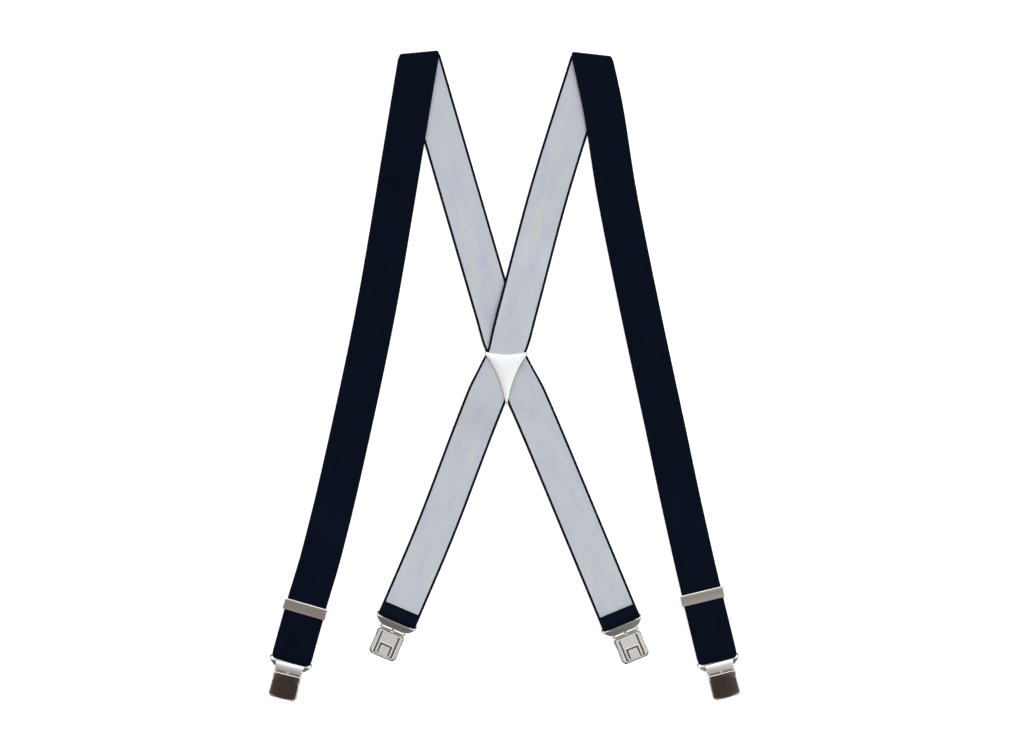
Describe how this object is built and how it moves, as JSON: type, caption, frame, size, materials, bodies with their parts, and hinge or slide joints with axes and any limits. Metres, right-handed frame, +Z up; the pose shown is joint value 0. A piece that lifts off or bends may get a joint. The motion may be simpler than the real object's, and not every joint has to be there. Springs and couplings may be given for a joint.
{
  "type": "suspenders",
  "caption": "Crossed-back elastic suspenders with length adjusters, a riveted triangular crosspiece and hinged lever clips, laid out flat.",
  "frame": {"origin": "the middle of the underside of the crosspiece's outer plate, on the table that the suspenders lie on", "axes": "+Y from the clips towards the shoulder folds, +X to the right in plan, +Z up from the table"},
  "size_m": [0.4134, 0.5686, 0.0069],
  "materials": {
    "navy_webbing": "woven elastic, matt",
    "grey_webbing": "woven elastic, matt, navy selvedges",
    "nickel_plate": "polished nickel plate",
    "bright_plate": "bright polished plate",
    "steel_pin": "drawn steel",
    "grip_plastic": "moulded plastic"
  },
  "bodies": {
    "root": {"crosspiece_outer_plate": "bright_plate", "crosspiece_inner_plate": "bright_plate", "crosspiece_left_rivet": "bright_plate", "crosspiece_right_rivet": "bright_plate", "crosspiece_lower_rivet": "bright_plate", "left_back_strap": "grey_webbing", "right_back_strap": "grey_webbing", "rear_left_turn": "navy_webbing", "rear_right_turn": "navy_webbing"},
    "left_front": {"left_front_strap": "navy_webbing", "left_front_run": "navy_webbing"},
    "left_loop": {"front_left_turn": "navy_webbing"},
    "left_slider": {"left_slider_frame": "nickel_plate", "left_slider_bar": "nickel_plate", "left_slider_hem": "navy_webbing", "left_return_run": "grey_webbing"},
    "right_front": {"right_front_strap": "navy_webbing", "right_front_run": "navy_webbing"},
    "right_loop": {"front_right_turn": "navy_webbing"},
    "right_slider": {"right_slider_frame": "nickel_plate", "right_slider_bar": "nickel_plate", "right_slider_hem": "navy_webbing", "right_return_run": "grey_webbing"},
    "front_left_ring": {"front_left_ring": "nickel_plate", "front_left_bridge": "nickel_plate"},
    "front_left_base": {"front_left_base": "nickel_plate", "front_left_hinge_pin": "steel_pin", "front_left_lever_pin": "steel_pin", "front_left_grip_pad": "grip_plastic"},
    "front_left_lever": {"front_left_lever": "nickel_plate"},
    "front_right_ring": {"front_right_ring": "nickel_plate", "front_right_bridge": "nickel_plate"},
    "front_right_base": {"front_right_base": "nickel_plate", "front_right_hinge_pin": "steel_pin", "front_right_lever_pin": "steel_pin", "front_right_grip_pad": "grip_plastic"},
    "front_right_lever": {"front_right_lever": "nickel_plate"},
    "rear_left_ring": {"rear_left_ring": "nickel_plate", "rear_left_bridge": "nickel_plate"},
    "rear_left_base": {"rear_left_base": "nickel_plate", "rear_left_hinge_pin": "steel_pin", "rear_left_lever_pin": "steel_pin", "rear_left_grip_pad": "grip_plastic"},
    "rear_left_lever": {"rear_left_lever": "nickel_plate"},
    "rear_right_ring": {"rear_right_ring": "nickel_plate", "rear_right_bridge": "nickel_plate"},
    "rear_right_base": {"rear_right_base": "nickel_plate", "rear_right_hinge_pin": "steel_pin", "rear_right_lever_pin": "steel_pin", "rear_right_grip_pad": "grip_plastic"},
    "rear_right_lever": {"rear_right_lever": "nickel_plate"}
  },
  "joints": [
    {"name": "left_shoulder_fold", "type": "hinge", "parent": "root", "child": "left_front", "pos_m": [-0.0769, 0.27695, 0.00165], "axis": [-0.9982, -0.0593, 0], "range_deg": [0, 170]},
    {"name": "left_loop_slide", "type": "slide", "parent": "left_front", "child": "left_loop", "axis": [-0.2664, -0.9639, 0], "range_m": [-0.02, 0.015], "deforming": ["left_front_run", "left_return_run"]},
    {"name": "left_slider_slide", "type": "slide", "parent": "left_loop", "child": "left_slider", "axis": [-0.2763, -0.9611, 0], "range_m": [-0.02, 0.015], "deforming": ["left_front_run", "left_return_run"]},
    {"name": "right_shoulder_fold", "type": "hinge", "parent": "root", "child": "right_front", "pos_m": [0.07417, 0.27545, 0.00165], "axis": [-0.999, 0.0451, 0], "range_deg": [0, 170]},
    {"name": "right_loop_slide", "type": "slide", "parent": "right_front", "child": "right_loop", "axis": [0.2336, -0.9723, 0], "range_m": [-0.02, 0.015], "deforming": ["right_front_run", "right_return_run"]},
    {"name": "right_slider_slide", "type": "slide", "parent": "right_loop", "child": "right_slider", "axis": [0.2345, -0.9721, 0], "range_m": [-0.02, 0.015], "deforming": ["right_front_run", "right_return_run"]},
    {"name": "front_left_ring_swing", "type": "hinge", "parent": "left_loop", "child": "front_left_ring", "pos_m": [-0.1883, -0.2538, 0.00285], "axis": [-0.9705, 0.2411, 0], "range_deg": [0, 60]},
    {"name": "front_left_clip_tilt", "type": "hinge", "parent": "front_left_ring", "child": "front_left_base", "pos_m": [-0.19086, -0.26409, 0.00285], "axis": [-0.9705, 0.2411, 0], "range_deg": [0, 30]},
    {"name": "front_left_lever_opening", "type": "hinge", "parent": "front_left_base", "child": "front_left_lever", "pos_m": [-0.19206, -0.26894, 0.00385], "axis": [-0.9705, 0.2411, 0], "range_deg": [0, 90]},
    {"name": "front_right_ring_swing", "type": "hinge", "parent": "right_loop", "child": "front_right_ring", "pos_m": [0.1838, -0.2529, 0.00285], "axis": [-0.9659, -0.259, 0], "range_deg": [0, 60]},
    {"name": "front_right_clip_tilt", "type": "hinge", "parent": "front_right_ring", "child": "front_right_base", "pos_m": [0.18654, -0.26314, 0.00285], "axis": [-0.9659, -0.259, 0], "range_deg": [0, 30]},
    {"name": "front_right_lever_opening", "type": "hinge", "parent": "front_right_base", "child": "front_right_lever", "pos_m": [0.18784, -0.26797, 0.00385], "axis": [-0.9659, -0.259, 0], "range_deg": [0, 90]},
    {"name": "rear_left_ring_swing", "type": "hinge", "parent": "root", "child": "rear_left_ring", "pos_m": [-0.0957, -0.2184, 0.0032], "axis": [-0.9199, 0.3922, 0], "range_deg": [0, 60]},
    {"name": "rear_left_clip_tilt", "type": "hinge", "parent": "rear_left_ring", "child": "rear_left_base", "pos_m": [-0.09986, -0.22815, 0.0032], "axis": [-0.9199, 0.3922, 0], "range_deg": [0, 30]},
    {"name": "rear_left_lever_opening", "type": "hinge", "parent": "rear_left_base", "child": "rear_left_lever", "pos_m": [-0.10182, -0.23275, 0.0022], "axis": [0.9199, -0.3922, 0], "range_deg": [0, 90]},
    {"name": "rear_right_ring_swing", "type": "hinge", "parent": "root", "child": "rear_right_ring", "pos_m": [0.0995, -0.2208, 0.0032], "axis": [-0.9235, -0.3837, 0], "range_deg": [0, 60]},
    {"name": "rear_right_clip_tilt", "type": "hinge", "parent": "rear_right_ring", "child": "rear_right_base", "pos_m": [0.10357, -0.23059, 0.0032], "axis": [-0.9235, -0.3837, 0], "range_deg": [0, 30]},
    {"name": "rear_right_lever_opening", "type": "hinge", "parent": "rear_right_base", "child": "rear_right_lever", "pos_m": [0.10548, -0.23521, 0.0022], "axis": [0.9235, 0.3837, 0], "range_deg": [0, 90]}
  ],
  "couplings": [
    {"joint": "left_slider_slide", "follows": "left_loop_slide", "ratio": 1},
    {"joint": "right_slider_slide", "follows": "right_loop_slide", "ratio": 1}
  ]
}
